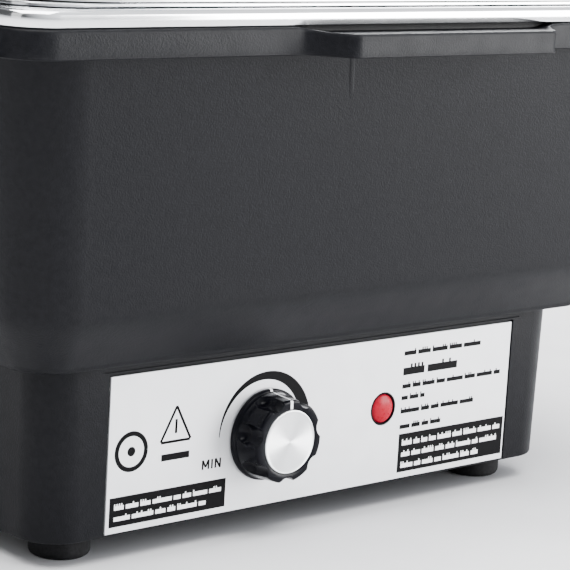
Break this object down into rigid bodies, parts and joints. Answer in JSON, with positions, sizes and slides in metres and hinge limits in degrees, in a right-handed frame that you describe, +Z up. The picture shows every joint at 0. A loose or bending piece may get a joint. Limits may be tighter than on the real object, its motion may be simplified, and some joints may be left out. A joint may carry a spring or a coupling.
{
  "type": "electric buffet server",
  "caption": "Counter-top electric food warmer: plastic tub on a plinth with a heated steel water pan, lift-out food pan, lift-off domed lid, thermostat knob and pilot lamp.",
  "frame": {"origin": "centre of the footprint's bounding box, on the surface the feet stand on", "axes": "+Z up; the control panel is on the short end that faces -Y; X runs across the width, Y along the length"},
  "size_m": [0.34, 0.5702, 0.2972],
  "materials": {
    "black_plastic": "fine pebble-grained moulded polypropylene, satin-matt",
    "fascia": "pale silver-grey lacquered plate with black print",
    "gloss_black": "polished black moulding with a white pointer line",
    "spun_aluminium": "concentric spun finish with a bright bevelled edge",
    "red_lens": "translucent red pilot lens",
    "polished_steel": "mirror-polished stainless sheet",
    "handle_black": "satin black heat-resistant moulding",
    "rubber": "speckled matt black rubber",
    "zinc_steel": "zinc-plated steel",
    "cast_aluminium": "mill-finish aluminium sheet",
    "brass": "plain brass and copper alloy",
    "white_insulator": "off-white insulating moulding",
    "wire_brown": "brown insulated wire",
    "wire_blue": "blue insulated wire",
    "wire_green": "green and yellow insulated wire"
  },
  "bodies": {
    "root": {"tub_body": "black_plastic", "base_housing": "black_plastic", "bottom_cover": "black_plastic", "fascia_plate": "fascia", "thermostat_body": "zinc_steel", "pilot_lamp_sleeve": "black_plastic", "pilot_lamp_lens": "red_lens", "water_pan": "polished_steel", "heat_spreader_plate": "cast_aluminium", "heating_element": "zinc_steel", "thermal_cutout": "white_insulator", "sensing_bulb": "brass", "capillary_tube": "brass", "heat_shield": "zinc_steel", "mains_inlet": "black_plastic", "terminal_block": "white_insulator", "foot_1": "rubber", "foot_screw_1": "zinc_steel", "cover_screw_1": "zinc_steel", "tub_screw_1": "zinc_steel", "foot_2": "rubber", "foot_screw_2": "zinc_steel", "cover_screw_2": "zinc_steel", "tub_screw_2": "zinc_steel", "foot_3": "rubber", "foot_screw_3": "zinc_steel", "cover_screw_3": "zinc_steel", "tub_screw_3": "zinc_steel", "foot_4": "rubber", "foot_screw_4": "zinc_steel", "cover_screw_4": "zinc_steel", "tub_screw_4": "zinc_steel", "thermostat_screw_1": "zinc_steel", "clamp_bar_1": "zinc_steel", "clamp_stud_1": "zinc_steel", "clamp_nut_1": "zinc_steel", "inlet_screw_1": "zinc_steel", "thermostat_screw_2": "zinc_steel", "clamp_bar_2": "zinc_steel", "clamp_stud_2": "zinc_steel", "clamp_nut_2": "zinc_steel", "inlet_screw_2": "zinc_steel", "inlet_pin_line": "brass", "inlet_pin_neutral": "brass", "inlet_pin_earth": "brass", "supply_wire_line": "wire_brown", "supply_wire_neutral": "wire_blue", "supply_wire_earth": "wire_green", "element_wire_line": "wire_brown", "element_wire_neutral": "wire_blue"},
    "knob": {"thermostat_knob": "gloss_black", "knob_cap": "spun_aluminium", "thermostat_spindle": "zinc_steel"},
    "food_pan": {"food_pan": "polished_steel"},
    "lid": {"lid": "polished_steel", "lid_handle": "handle_black", "handle_washer_1": "handle_black", "handle_washer_2": "handle_black", "handle_screw_1": "zinc_steel", "handle_screw_2": "zinc_steel"}
  },
  "joints": [
    {"name": "knob_turn", "type": "hinge", "parent": "root", "child": "knob", "pos_m": [-0.0279, -0.2292, 0.0371], "axis": [0, -1, 0], "range_deg": [-135, 135]},
    {"name": "food_pan_lift", "type": "slide", "parent": "root", "child": "food_pan", "axis": [0, 0, 1], "range_m": [0, 0.18]},
    {"name": "lid_lift", "type": "slide", "parent": "food_pan", "child": "lid", "axis": [0, 0, 1], "range_m": [0, 0.25]}
  ]
}
